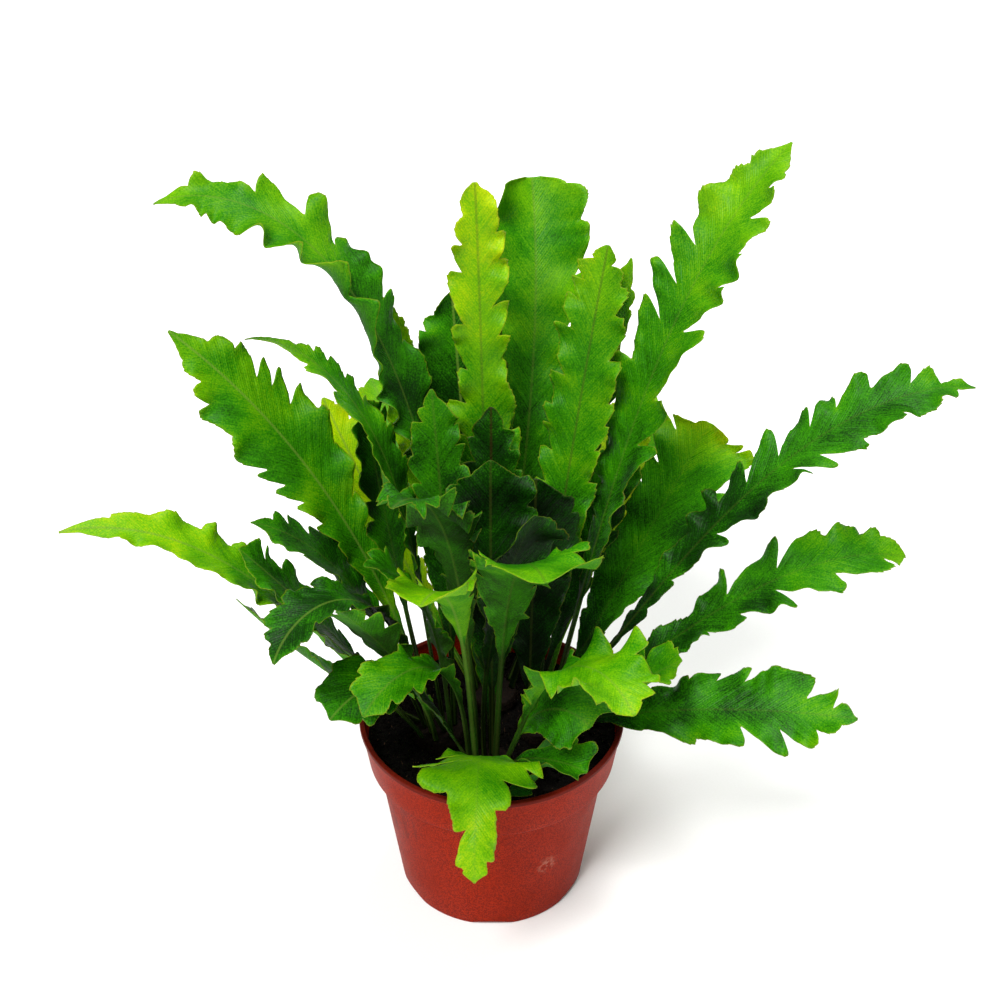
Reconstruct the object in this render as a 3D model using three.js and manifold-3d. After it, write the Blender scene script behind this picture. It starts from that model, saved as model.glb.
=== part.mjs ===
// A fern with lobed, wavy, undivided fronds, growing in a round plastic nursery pot.
// Millimetres, +Z up. The origin is the middle of the pot's underside, where it stands.

import * as THREE from 'three';
import { mergeVertices } from 'three/addons/utils/BufferGeometryUtils.js';
import Module from 'manifold-3d';

const wasm = await Module();
wasm.setup();

// the pot
const potHeight = 93;
const rimRadius = 60; // outside of the lip
const baseRadius = 42.5; // outside of the foot
const potWall = 1.5;
const lipHeight = 2.5;
const lipOverhang = 0.8; // how far the lip stands proud of the collar
const lipBevel = 0.6; // round its upper and lower edges
const collarHeight = 22;
const collarTaper = 3; // how much narrower the collar is at its lower edge
const shoulderStep = 4; // from the collar in to the body
const shoulderDrop = 2;
const footHeight = 2.4;
const footWidth = 4;
const footBevel = 1;
const padRadius = 12; // level pad in the middle of the underside
const drainHoleCount = 6;
const drainHoleRadius = 3.5;
const drainCircleRadius = 29;
const footNotchWidth = 22;
const footNotchHeight = 2.4;
const roundSteps = 40; // sides of every round piece of the pot and the soil
const holeSteps = 16;
const archSteps = 8;

// the soil and the four crowns that stand in it
const fitGap = 0.3; // between touching pieces
const soilBelowRim = 11;
const crownRadius = 12.5;
const crownTopRadius = 11;
const crownAboveSoil = 4;
const crownDepth = 10;
const crownFootInset = 2; // how much narrower a crown is at its foot than at the soil
const crownInset = 36; // from the rim to a crown's middle, on the pot's radius
const crownAngles = { left: 185, back: 90, right: 5, front: 265 };

// the fronds
const stalkWidth = 3;
const midribThickness = 2.2;
const tipThickness = 1.1;
const marginThickness = 0.7;
const lobeStep = 12; // along the midrib, from a lobe's point to the next notch
const lobeReach = 0.35; // how far a lobe points forward, as a share of its width
const stalkThinning = 0.7; // share of the stalk's width that is gone at the tip
const stalkStations = [0, 0.35, 0.7]; // rings along the bare stalk, as shares of it
const fewestStations = 8; // rings along the blade of the shortest frond
const mostStations = 24;
const tipPlace = 0.999; // the last ring lies just short of the blade's point
const rollShare = 0.3; // the blade's tilt comes in over this share of the length
const sweepBend = 1.5; // above 1, the turn changes more towards the tip
const midribSteps = 160;

// Each frond has its foot on the crown (x, y from the crown's middle), the run of its midrib
// (turn: the way it leans, 0 is +X and 90 is the back; lean from upright at the foot; droop: how much
// further it leans by the tip; bend: 1 droops evenly, 4 only near the tip; sweep: how far the turn
// changes by the tip; length) and its blade (width; bare: the stalk's share of the length; widest: where
// along the blade; taper: how narrow both ends run; lobing: depth of the notches as a share; roll: tilt of
// the blade about its midrib; twist: further roll by the tip; cup: rise of the margins, as a share of the
// half width).
const plan = {
  left: [
    { foot: [-3, 5], run: [165, 14, 40, 1.5, 2, 225], blade: [44, 0.2, 0.62, 2.2, 0.3, -30, 0, 0.15] },
    { foot: [2, 4], run: [169, 7, 107, 4.5, -14, 229], blade: [29, 0.25, 0.5, 2.4, 0.3, 5, 10, 0.2] },
    { foot: [-9, -3], run: [192, 33, 65, 3.5, 0, 208], blade: [26, 0.15, 0.5, 2.2, 0.25, 10, -50, 0.2] },
    { foot: [-9, 4], run: [186, 55, -20, 1, 0, 110], blade: [22, 0.2, 0.5, 2.2, 0.3, 20, 0, 0.2] },
    { foot: [-6, 0], run: [173, 18, 60, 3, 8, 140], blade: [26, 0.3, 0.55, 2.2, 0.3, 0, 0, 0.2] },
    { foot: [-3, -4], run: [214, 12, 140, 3, 20, 160], blade: [30, 0.3, 0.6, 2, 0.3, 0, 0, 0.2] },
    { foot: [-7, -7], run: [194, 28, 10, 1.5, 0, 142], blade: [32, 0.3, 0.65, 2, 0.35, -10, 0, 0.3] },
    { foot: [-1, -9], run: [228, 12, 108, 1.8, 0, 98], blade: [34, 0.2, 0.6, 2, 0.2, 0, 0, 0.2] },
    { foot: [7, 1], run: [108, 3, 12, 1, 0, 168], blade: [26, 0.25, 0.6, 2, 0.25, 0, 0, 0.2] },
    { foot: [6, -7], run: [214, 5, 60, 3, 0, 128], blade: [30, 0.25, 0.6, 1.9, 0.25, 0, 0, 0.2] },
    { foot: [-4, 8.5], run: [150, 12, -3, 1.2, 0, 164], blade: [40, 0.35, 0.65, 2, 0.35, -2, 0, 0.2] },
    { foot: [2.5, -2.5], run: [223, 21, 17, 1.1, 2, 116], blade: [38, 0.3, 0.6, 2, 0.25, 23, 0, 0.25] },
  ],
  back: [
    { foot: [-7, 0], run: [150, 11, 106, 4, 26, 306], blade: [42, 0.3, 0.55, 2.2, 0.3, -10, 0, 0.2] },
    { foot: [-9, 3], run: [137, 42, -4, 1, -4, 150], blade: [32, 0.2, 0.6, 2, 0.25, -15, 0, 0.2] },
    { foot: [2, 2], run: [68, 19, 18, 1, 30, 236], blade: [50, 0.15, 0.72, 1.8, 0.22, 0, 0, 0.25] },
    { foot: [-2, -5], run: [93, 5, 13, 1, 5, 245], blade: [28, 0.12, 0.6, 1.8, 0.25, 0, 0, 0.15] },
    { foot: [9, 1], run: [44, 22, -6, 1.5, 0, 212], blade: [26, 0.25, 0.6, 2.2, 0.3, 0, 0, 0.2] },
    { foot: [-3, 2], run: [108, 14, 12, 2, -8, 188], blade: [46, 0.15, 0.62, 1.8, 0.25, 0, 0, 0.25] },
    { foot: [-5, 5], run: [130, 24, -6, 1, 0, 190], blade: [22, 0.3, 0.6, 2, 0.2, 0, 0, 0.2] },
    { foot: [0, 9], run: [98, 34, 10, 1, 0, 150], blade: [34, 0.2, 0.6, 2, 0.25, 0, 0, 0.2] },
    { foot: [4, 8], run: [76, 36, 14, 1, 8, 165], blade: [34, 0.2, 0.6, 2, 0.25, 0, 0, 0.2] },
    { foot: [0, -9], run: [90, 1, 7, 1, 0, 155], blade: [28, 0.1, 0.6, 1.6, 0.25, 0, 0, 0.2] },
    { foot: [-4.5, 8.5], run: [112, 48, 30, 1, 0, 170], blade: [36, 0.2, 0.6, 2, 0.3, 0, 0, 0.2] },
    { foot: [8, 6], run: [60, 50, 25, 1, 0, 165], blade: [36, 0.2, 0.6, 2, 0.3, 0, 0, 0.2] },
  ],
  right: [
    { foot: [9, -4], run: [345, 57, 28, 0.6, -2, 136], blade: [40, 0.12, 0.55, 1.9, 0.25, 30, 0, 0.1] },
    { foot: [9.5, 1], run: [8, 49, 66, 2.8, 8, 180], blade: [40, 0.15, 0.6, 2, 0.45, 10, 0, 0.1] },
    { foot: [7, 6], run: [19, 37, 71, 2.8, 0, 253], blade: [36, 0.15, 0.6, 2.2, 0.35, 10, 0, 0.15] },
    { foot: [3, 9], run: [47, 46, 0, 1, 0, 150], blade: [60, 0.15, 0.66, 1.7, 0.2, 0, 0, 0.2] },
    { foot: [-2, 9], run: [64, 42, 0, 1, 0, 150], blade: [36, 0.2, 0.66, 1.8, 0.25, 0, 0, 0.2] },
    { foot: [2, 3], run: [38, 16, 44, 3, 0, 287], blade: [44, 0.2, 0.6, 2.2, 0.35, 0, 0, 0.2] },
    { foot: [-4, 4], run: [62, 11, 12, 1, 2, 222], blade: [34, 0.15, 0.6, 1.9, 0.3, 0, 0, 0.1] },
    { foot: [-7, -2], run: [76, 2, 8, 1, 8, 128], blade: [38, 0.15, 0.62, 1.8, 0.25, 0, 0, 0.2] },
    { foot: [-5, 8], run: [52, 28, 8, 1, 0, 140], blade: [28, 0.2, 0.6, 2, 0.25, 0, 0, 0.2] },
    { foot: [5.5, -7.5], run: [350, 43, 9, 1, 0, 74], blade: [32, 0.25, 0.6, 1.9, 0.3, 3, 0, 0.3] },
  ],
  front: [
    { foot: [-8, 3], run: [230, 6, 130, 2.2, 0, 118], blade: [26, 0.3, 0.6, 2, 0.2, 0, 0, 0.2] },
    { foot: [-5, 0], run: [258, 12, 62, 2.5, 0, 190], blade: [34, 0.45, 0.7, 2, 0.2, 0, 0, 0.4] },
    { foot: [-4, 8], run: [247, 8, 66, 3, 5, 222], blade: [32, 0.3, 0.6, 2, 0.25, 0, 0, 0.2] },
    { foot: [-2, -7], run: [268, 25, 145, 1.4, 0, 104], blade: [40, 0.1, 0.3, 2.2, 0.3, 0, 0, 0] },
    { foot: [4, 1], run: [284, 8, 75, 3, 0, 190], blade: [52, 0.35, 0.75, 1.8, 0.25, 0, 0, 0.2] },
    { foot: [8, -3], run: [315, 19, 98, 2.8, -20, 146], blade: [42, 0.25, 0.6, 1.9, 0.25, 0, 0, 0.3] },
    { foot: [5, -7], run: [328, 35, 60, 1, 0, 52], blade: [24, 0.25, 0.6, 1.8, 0.2, 0, 0, 0.4] },
    { foot: [2, 8], run: [120, 2, 15, 1, 0, 128], blade: [22, 0.15, 0.6, 1.8, 0.2, 0, 0, 0.2] },
    { foot: [-1, 1.5], run: [150, 3, -25, 1, 0, 146], blade: [37, 0.35, 0.65, 2, 0.35, -22, 0, 0.2] },
    { foot: [2.5, 3.5], run: [96, 1, 12, 1, -8, 149], blade: [44, 0.25, 0.6, 2, 0.25, 11, 0, 0.2] },
    { foot: [-5.5, -6.5], run: [214, 22, 11, 1.5, 0, 79], blade: [33, 0.3, 0.6, 1.9, 0.25, -13, 0, 0.2] },
    { foot: [9.5, 2], run: [329, 19, 109, 2.6, -6, 67], blade: [35, 0.25, 0.6, 1.9, 0.2, 37, 0, 0.3] },
  ],
};

// small round leaves of seedlings on the soil (angle: round the pot's axis; inset: from the pot's wall)
const seedlings = [
  { angle: 294.3, inset: 22.2, run: [22, 42, 30, 1, 0, 20], blade: [15, 0.25, 0.55, 1.6, 0, 0, 0, 0.2] },
  { angle: 275.3, inset: 13, run: [345, 45, 30, 1, 0, 18], blade: [13, 0.25, 0.55, 1.6, 0, 0, 0, 0.2] },
];

const soilTop = potHeight - soilBelowRim;
const crownTop = soilTop + crownAboveSoil;
const crownReach = rimRadius - crownInset;
const radians = THREE.MathUtils.degToRad;

function lathe(profile) {
  const points = profile.map(([radius, height]) => new THREE.Vector2(radius, height));
  const geometry = new THREE.LatheGeometry(points, roundSteps);
  geometry.rotateX(Math.PI / 2);
  return geometry;
}

function solidOf(geometry) {
  const bare = geometry.clone();
  bare.deleteAttribute('normal');
  bare.deleteAttribute('uv');
  const merged = mergeVertices(bare, 1e-4);
  const vertProperties = new Float32Array(merged.attributes.position.array);
  const triVerts = new Uint32Array(merged.index.array);
  return new wasm.Manifold(new wasm.Mesh({ numProp: 3, vertProperties, triVerts }));
}

function geometryOf(solid) {
  const mesh = solid.getMesh();
  const geometry = new THREE.BufferGeometry();
  geometry.setAttribute('position', new THREE.BufferAttribute(mesh.vertProperties, 3));
  geometry.setIndex(new THREE.BufferAttribute(mesh.triVerts, 1));
  return geometry;
}

// outside of the pot from the foot to the top of the collar, as [radius, height] points
const collarTopRadius = rimRadius - lipOverhang;
const collarFootRadius = collarTopRadius - collarTaper;
const bodyTopRadius = collarFootRadius - shoulderStep;
const collarFoot = potHeight - collarHeight;
const bodyTop = collarFoot - shoulderDrop;

function bodyRadiusAt(height) {
  return baseRadius + (bodyTopRadius - baseRadius) * (height / bodyTop);
}

// inside of the pot, moved in by a clearance: zero for the pot's own wall, the fit gap for the soil
function insideProfile(clearance) {
  const inset = potWall + clearance;
  const floor = footHeight + potWall + clearance;
  return [
    [bodyRadiusAt(floor) - inset, floor],
    [bodyTopRadius - inset, bodyTop + clearance],
    [collarFootRadius - inset, collarFoot + clearance],
  ];
}

function collarInsideAt(height, clearance) {
  const share = (height - collarFoot) / (potHeight - collarFoot);
  return collarFootRadius + collarTaper * share - potWall - clearance;
}

function potSolid() {
  const lipFoot = potHeight - lipHeight;
  const slope = footHeight; // the floor rises from its pad at 45 degrees
  const turnInset = potWall * Math.tan(Math.PI / 8); // keeps the wall even where the floor turns
  const profile = [
    [0, 0],
    [padRadius, 0],
    [padRadius + slope, footHeight],
    [baseRadius - footWidth - footBevel, footHeight],
    [baseRadius - footWidth, 0],
    [baseRadius - footBevel, 0],
    [baseRadius, footBevel],
    [bodyTopRadius, bodyTop],
    [collarFootRadius, collarFoot],
    [collarTopRadius, lipFoot],
    [rimRadius, lipFoot + lipBevel],
    [rimRadius, potHeight - lipBevel],
    [rimRadius - lipBevel, potHeight],
    [collarInsideAt(potHeight, 0), potHeight],
    ...insideProfile(0).reverse(),
    [padRadius + slope - turnInset, footHeight + potWall],
    [padRadius - turnInset, potWall],
    [0, potWall],
  ];
  let pot = solidOf(lathe(profile));
  for (let i = 0; i < drainHoleCount; i += 1) {
    const angle = (2 * Math.PI * (i + 0.5)) / drainHoleCount;
    const cut = 4 * potWall;
    const hole = new THREE.CylinderGeometry(drainHoleRadius, drainHoleRadius, cut, holeSteps);
    hole.rotateX(Math.PI / 2);
    hole.translate(drainCircleRadius * Math.cos(angle), drainCircleRadius * Math.sin(angle), footHeight);
    pot = pot.subtract(solidOf(hole));
    pot = pot.subtract(solidOf(footNotch(angle)));
  }
  return pot;
}

// a shallow arch cut through the foot ring, so that water runs out from under the pot
function footNotch(angle) {
  const arch = new THREE.Shape();
  const half = footNotchWidth / 2;
  const below = -footBevel; // the cutter starts under the foot
  arch.moveTo(-half, below);
  arch.lineTo(half, below);
  arch.lineTo(half, 0);
  arch.quadraticCurveTo(0, 2 * footNotchHeight, -half, 0);
  arch.closePath();
  const settings = { depth: 2 * footWidth, bevelEnabled: false, curveSegments: archSteps };
  const cutter = new THREE.ExtrudeGeometry(arch, settings);
  cutter.rotateX(Math.PI / 2);
  cutter.rotateZ(Math.PI / 2);
  cutter.translate(baseRadius - footWidth, 0, 0);
  cutter.rotateZ(angle);
  return cutter;
}

function crownMiddle(name) {
  const angle = radians(crownAngles[name]);
  return [crownReach * Math.cos(angle), crownReach * Math.sin(angle)];
}

// a low tapered mound; grown by a clearance it also cuts its own socket in the soil
function crownGeometry(name, clearance) {
  const foot = soilTop - crownDepth - clearance;
  const [x, y] = crownMiddle(name);
  const mound = lathe([
    [0, foot],
    [crownRadius - crownFootInset + clearance, foot],
    [crownRadius + clearance, soilTop],
    [crownTopRadius + clearance, crownTop + clearance],
    [0, crownTop + clearance],
  ]);
  mound.translate(x, y, 0);
  return mound;
}

function soilSolid() {
  const floor = footHeight + potWall + fitGap;
  const profile = [
    [0, floor],
    ...insideProfile(fitGap),
    [collarInsideAt(soilTop, fitGap), soilTop],
    [0, soilTop],
  ];
  let soil = solidOf(lathe(profile));
  for (const name of Object.keys(crownAngles)) {
    soil = soil.subtract(solidOf(crownGeometry(name, fitGap)));
  }
  return soil;
}

// points and frames along a midrib, found by stepping along its direction
function midribOf(foot, run) {
  const [turn, lean, droop, bend, sweep, length] = run;
  const points = [new THREE.Vector3(...foot)];
  const directions = [];
  const turns = [];
  const leans = [];
  for (let i = 0; i <= midribSteps; i += 1) {
    const along = i / midribSteps;
    leans.push(radians(lean + droop * along ** bend));
    turns.push(radians(turn + sweep * along ** sweepBend));
    const flat = Math.sin(leans[i]);
    const across = [flat * Math.cos(turns[i]), flat * Math.sin(turns[i])];
    directions.push(new THREE.Vector3(...across, Math.cos(leans[i])));
    if (i > 0) {
      const stride = directions[i - 1].clone().add(directions[i]).setLength(length / midribSteps);
      points.push(points[i - 1].clone().add(stride));
    }
  }
  return { points, turns, leans };
}

function frameAt(midrib, blade, along) {
  const place = THREE.MathUtils.clamp(along, 0, 1) * midribSteps;
  const before = Math.min(Math.floor(place), midribSteps - 1);
  const share = place - before;
  const point = midrib.points[before].clone().lerp(midrib.points[before + 1], share);
  const turn = THREE.MathUtils.lerp(midrib.turns[before], midrib.turns[before + 1], share);
  const lean = THREE.MathUtils.lerp(midrib.leans[before], midrib.leans[before + 1], share);
  const tilt = radians(blade.roll + blade.twist * along * along);
  const roll = tilt * THREE.MathUtils.smoothstep(along, 0, rollShare);
  const flat = -Math.cos(lean);
  const level = new THREE.Vector3(-Math.sin(turn), Math.cos(turn), 0);
  const upper = new THREE.Vector3(flat * Math.cos(turn), flat * Math.sin(turn), Math.sin(lean));
  const side = level.clone().multiplyScalar(Math.cos(roll)).addScaledVector(upper, Math.sin(roll));
  const normal = upper.clone().multiplyScalar(Math.cos(roll)).addScaledVector(level, -Math.sin(roll));
  return { point, side, normal };
}

// share of the full width at a place along the blade: 0 at both ends, 1 at the widest place
function bladeOutline(place, widest, taper) {
  const rising = (place / widest) ** (taper * widest);
  const falling = ((1 - place) / (1 - widest)) ** (taper * (1 - widest));
  return rising * falling;
}

// A frond is a strip of six-sided rings from its foot to its tip: a thick midrib with a thin margin
// at each side, the margins alternating between a lobe's point and a notch.
function frondGeometry(foot, run, bladeValues) {
  const [width, bare, widest, taper, lobing, roll, twist, cup] = bladeValues;
  const midrib = midribOf(foot, run);
  const length = run[5];
  const lobeCount = Math.round((length * (1 - bare)) / lobeStep);
  const bladeStations = THREE.MathUtils.clamp(lobeCount, fewestStations, mostStations);
  const stations = stalkStations.map((share) => bare * share);
  for (let i = 0; i <= bladeStations; i += 1) {
    stations.push(bare + (1 - bare) * (i / bladeStations));
  }
  const positions = [];
  stations.forEach((along, number) => {
    const place = Math.max(0, (along - bare) / (1 - bare));
    const outline = (width / 2) * bladeOutline(Math.min(place, tipPlace), widest, taper);
    const middle = frameAt(midrib, { roll, twist }, along);
    const thickness = THREE.MathUtils.lerp(midribThickness, tipThickness, along) / 2;
    const ring = [];
    for (const hand of [1, -1]) {
      const notched = (number + (hand > 0 ? 0 : 1)) % 2 === 0 ? 1 - lobing : 1;
      const half = (stalkWidth / 2) * (1 - stalkThinning * along) + outline * notched;
      const reach = (lobeReach * outline * notched) / length;
      const edge = frameAt(midrib, { roll, twist }, along + reach);
      const spot = edge.point.clone().addScaledVector(edge.side, hand * half);
      spot.addScaledVector(edge.normal, cup * outline * notched);
      ring.push([spot, edge.normal, marginThickness / 2]);
    }
    const [left, right] = ring;
    for (const [spot, normal, half, up] of [
      [...left, 1],
      [middle.point, middle.normal, thickness, 1],
      [...right, 1],
      [...right, -1],
      [middle.point, middle.normal, thickness, -1],
      [...left, -1],
    ]) {
      const corner = spot.clone().addScaledVector(normal, up * half);
      if (number === 0) {
        corner.z = foot[2];
      }
      positions.push(corner.x, corner.y, corner.z);
    }
  });
  const faces = [];
  for (let station = 0; station < stations.length - 1; station += 1) {
    for (let side = 0; side < 6; side += 1) {
      const a = station * 6 + side;
      const b = station * 6 + ((side + 1) % 6);
      faces.push(a, b, a + 6, b, b + 6, a + 6);
    }
  }
  const last = (stations.length - 1) * 6;
  for (let side = 1; side < 5; side += 1) {
    faces.push(0, side + 1, side);
    faces.push(last, last + side, last + side + 1);
  }
  const geometry = new THREE.BufferGeometry();
  geometry.setAttribute('position', new THREE.Float32BufferAttribute(positions, 3));
  geometry.setIndex(faces);
  return geometry;
}

const plasticMaterial = new THREE.MeshStandardMaterial({ color: 0xb4533a, roughness: 0.5, metalness: 0 });
const soilMaterial = new THREE.MeshStandardMaterial({ color: 0x17140f, roughness: 1, metalness: 0 });
const crownMaterial = new THREE.MeshStandardMaterial({ color: 0x3a2c1c, roughness: 0.95, metalness: 0 });
const frondMaterial = new THREE.MeshStandardMaterial({ color: 0x4b8a12, roughness: 0.4, metalness: 0 });
const seedlingMaterial = new THREE.MeshStandardMaterial({ color: 0x2f6c1a, roughness: 0.5, metalness: 0 });

const pottedFern = new THREE.Group();

function addPiece(name, geometry, material) {
  const piece = new THREE.Mesh(geometry, material);
  piece.name = name;
  pottedFern.add(piece);
}

addPiece('pot', geometryOf(potSolid()), plasticMaterial);
addPiece('potting_soil', geometryOf(soilSolid()), soilMaterial);

for (const name of Object.keys(crownAngles)) {
  addPiece(`${name}_crown`, geometryOf(solidOf(crownGeometry(name, 0))), crownMaterial);
  const [x, y] = crownMiddle(name);
  plan[name].forEach((frond, index) => {
    const foot = [x + frond.foot[0], y + frond.foot[1], crownTop + fitGap];
    addPiece(`${name}_frond_${index + 1}`, frondGeometry(foot, frond.run, frond.blade), frondMaterial);
  });
}

seedlings.forEach((leaf, index) => {
  const angle = radians(leaf.angle);
  const radius = collarInsideAt(soilTop, 0) - leaf.inset;
  const foot = [radius * Math.cos(angle), radius * Math.sin(angle), soilTop + fitGap];
  addPiece(`seedling_leaf_${index + 1}`, frondGeometry(foot, leaf.run, leaf.blade), seedlingMaterial);
});

export default pottedFern;
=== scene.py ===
import math

import bpy
import numpy as np
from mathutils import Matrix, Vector


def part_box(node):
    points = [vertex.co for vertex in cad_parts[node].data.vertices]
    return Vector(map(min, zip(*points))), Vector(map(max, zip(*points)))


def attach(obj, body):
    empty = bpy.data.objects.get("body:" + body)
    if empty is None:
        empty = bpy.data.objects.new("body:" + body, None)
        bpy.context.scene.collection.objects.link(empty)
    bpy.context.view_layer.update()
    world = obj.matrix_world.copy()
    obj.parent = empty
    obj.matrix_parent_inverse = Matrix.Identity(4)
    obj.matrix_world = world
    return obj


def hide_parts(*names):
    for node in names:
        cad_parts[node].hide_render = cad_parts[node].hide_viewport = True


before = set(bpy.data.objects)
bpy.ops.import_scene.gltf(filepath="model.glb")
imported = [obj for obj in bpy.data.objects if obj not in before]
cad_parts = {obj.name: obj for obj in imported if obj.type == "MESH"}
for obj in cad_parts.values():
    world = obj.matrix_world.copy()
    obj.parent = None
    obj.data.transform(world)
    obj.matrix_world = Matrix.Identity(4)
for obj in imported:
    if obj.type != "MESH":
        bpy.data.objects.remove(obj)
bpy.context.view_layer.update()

mm = 0.001  # the frame is in metres; sizes below are in millimetres
clusters = ("left", "back", "right", "front")


def boxOf(name):
    # lowest and highest corner of a CAD node, in millimetres
    low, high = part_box(name)
    return np.array(low) / mm, np.array(high) / mm


potHigh = boxOf("pot")[1]
soilHigh = boxOf("potting_soil")[1]
rimRadius = potHigh[0]
potHeight = potHigh[2]
soilTop = soilHigh[2]
crownMiddles = {}
for cluster in clusters:
    low, high = boxOf(cluster + "_crown")
    crownMiddles[cluster] = (low + high) / 2
crownLow, crownHigh = boxOf("front_crown")  # the four crowns are alike
crownTop = crownHigh[2]
crownRadius = (crownHigh[0] - crownLow[0]) / 2
fitGap = 0.3  # between pieces that meet: a stalk and its crown, the compost and the pot


def linear(hexColour):
    # sRGB hex to linear RGBA
    values = [int(hexColour[i:i + 2], 16) / 255 for i in (1, 3, 5)]
    return [v / 12.92 if v <= 0.04045 else ((v + 0.055) / 1.055) ** 2.4 for v in values] + [1.0]


def addNode(tree, kind, inputs=None, **settings):
    # a node with its settings; each input is a number, a hex colour, a socket, or a node for its first output
    made = tree.nodes.new("ShaderNode" + kind)
    for key, value in settings.items():
        setattr(made, key, value)
    for key, value in (inputs or {}).items():
        socket = made.inputs[key]
        if isinstance(value, bpy.types.Node):
            tree.links.new(value.outputs[0], socket)
        elif isinstance(value, bpy.types.NodeSocket):
            tree.links.new(value, socket)
        elif isinstance(value, str):
            socket.default_value = linear(value)
        else:
            socket.default_value = value
    return made


def newMaterial(name):
    material = bpy.data.materials.new(name)
    material.use_nodes = True
    material.node_tree.nodes.clear()
    return material, material.node_tree


def wander(place, stray, seed, unit=1):
    # a smooth random line: a random height at every step, eased from one to the next;
    # stray is (greatest height, step), and the step is counted in units
    most, step = stray
    heights = np.random.default_rng(seed).uniform(-1, 1, 512)
    cell = np.clip(place / (step * unit), 0, 510)
    low = np.floor(cell).astype(int)
    share = cell - low
    share = share * share * (3 - 2 * share)
    return most * (heights[low] * (1 - share) + heights[low + 1] * share)


def bell(place, middle, spread):
    # 1 at the middle, fading to 0 at about two spreads
    return np.exp(-((place - middle) / spread) ** 2)


def fadeIn(value, full):
    # 0 at nothing, rising evenly to 1 at the full value
    return np.clip(value / full, 0, 1)


def stripFaces(first, rows, columns, flip=False):
    # quads between the rows of a grid whose point (row, column) is number first + row * columns + column
    row, column = np.meshgrid(np.arange(rows - 1), np.arange(columns - 1), indexing="ij")
    corner = (first + row * columns + column).ravel()
    quads = np.stack([corner, corner + 1, corner + columns + 1, corner + columns], 1)
    return quads[:, ::-1] if flip else quads


def bridgeFaces(one, other):
    # quads between two equal rows of point numbers
    return np.stack([one[:-1], one[1:], other[1:], other[:-1]], 1)


def makePiece(name, points, faces, material, replaced=(), smooth=True, marks=None):
    # a mesh from numpy points in millimetres and arrays of faces, each array with its own number of corners;
    # marks are named values, one vector for each point
    corners = np.concatenate([part.ravel() for part in faces])
    counts = np.concatenate([np.full(len(part), part.shape[1]) for part in faces])
    starts = np.concatenate([[0], np.cumsum(counts)[:-1]])
    mesh = bpy.data.meshes.new(name)
    mesh.vertices.add(len(points))
    mesh.vertices.foreach_set("co", (points * mm).astype(np.float32).ravel())
    mesh.loops.add(len(corners))
    mesh.loops.foreach_set("vertex_index", corners.astype(np.int32))
    mesh.polygons.add(len(counts))
    mesh.polygons.foreach_set("loop_start", starts.astype(np.int32))
    mesh.update(calc_edges=True)
    mesh.validate()
    mesh.polygons.foreach_set("use_smooth", np.full(len(mesh.polygons), smooth))
    for markName, values in (marks or {}).items():
        layer = mesh.attributes.new(markName, "FLOAT_VECTOR", "POINT")
        layer.data.foreach_set("vector", values.astype(np.float32).ravel())
    mesh.materials.append(material)
    piece = bpy.data.objects.new(name, mesh)
    bpy.context.scene.collection.objects.link(piece)
    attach(piece, "root")
    if replaced:
        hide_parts(*replaced)
    return piece


# What every frond shares, in millimetres unless a note says otherwise. A pair is how far something strays
# to either side and the step over which it changes; for lobes that step is counted in lobes.
frondShape = {
    "stalkWidth": 3.0,
    "stalkThinning": 0.7,  # share of the midrib's width that is gone at the tip
    "leafThickness": 0.45,
    "leastHalf": 0.35,  # half width that is left at the deepest notch
    "midribSteps": 160,
    "rowStep": 0.8,  # fine enough for the teeth
    "columns": 12,  # on each side of the midrib
    "columnCrowding": 1.3,  # above 1, the columns are closer by the midrib
    "sweepBend": 1.5,
    "rollShare": 0.3,  # the roll comes on over this share of the length
    "lean": 0.75,  # how far the lobes point forward, as a share of their width
    "lobeRise": 2.6,  # above 1, the lobe swells quickly after its notch
    "lobeFall": 9,  # the higher, the steeper its front edge
    "lobeStray": (0.6, 2.1),
    "lobeJitter": (0.22, 0.9),
    "lobeSwell": (0.07, 1.7),
    "depthMiddle": 0.8,  # of a notch, as a share of the frond's depth
    "depthStray": (0.7, 1.4),
    "depthLimits": (0.05, 0.8),  # least and most
    "toothStep": 3.6,
    "toothStray": (0.9, 9),  # share of a tooth
    "biteMiddle": 0.65,  # share of a frond's teeth that shows
    "biteStray": (0.35, 11),
    "waveStep": 27,  # along a margin
    "waveHeight": 1.35,  # as a share of the frond's ruffle
    "waveStray": (0.7, 33),  # share of a wave
    "smallWaveStep": 0.41,  # as a share of the wave's
    "smallWaveHeight": 0.35,
    "smallWaveStray": (0.5, 17),
    "marginTurn": (0.5, 36),  # radians
    "pleatHeight": 0.09,  # of the shallow ribs over the side veins
    "pleatStep": 6.5,
    "veinSlope": 1.4,  # how far forward a side vein runs for each millimetre outwards
    "veinStep": 1.7,  # coarser than the real one, as finer ones wouldn't show
}

# how the tone changes over a leaf, with painted light at the tips and painted shade at the stalks' feet;
# tones go from 0 dark to 1 yellow-green
frondTone = {
    "tipBend": 1.6,  # above 1, most of the change comes near the tip
    "edgePaler": 0.1,
    "edgeWidth": 2.5,
    "patches": (0.07, 21),
    "stalkDarker": 0.45,  # share that a bare stalk loses
    # painted shade: how much darker a stalk gets by the soil, where the stalks crowd
    "footShade": 0.12,
    "footLength": 45,
}
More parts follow.
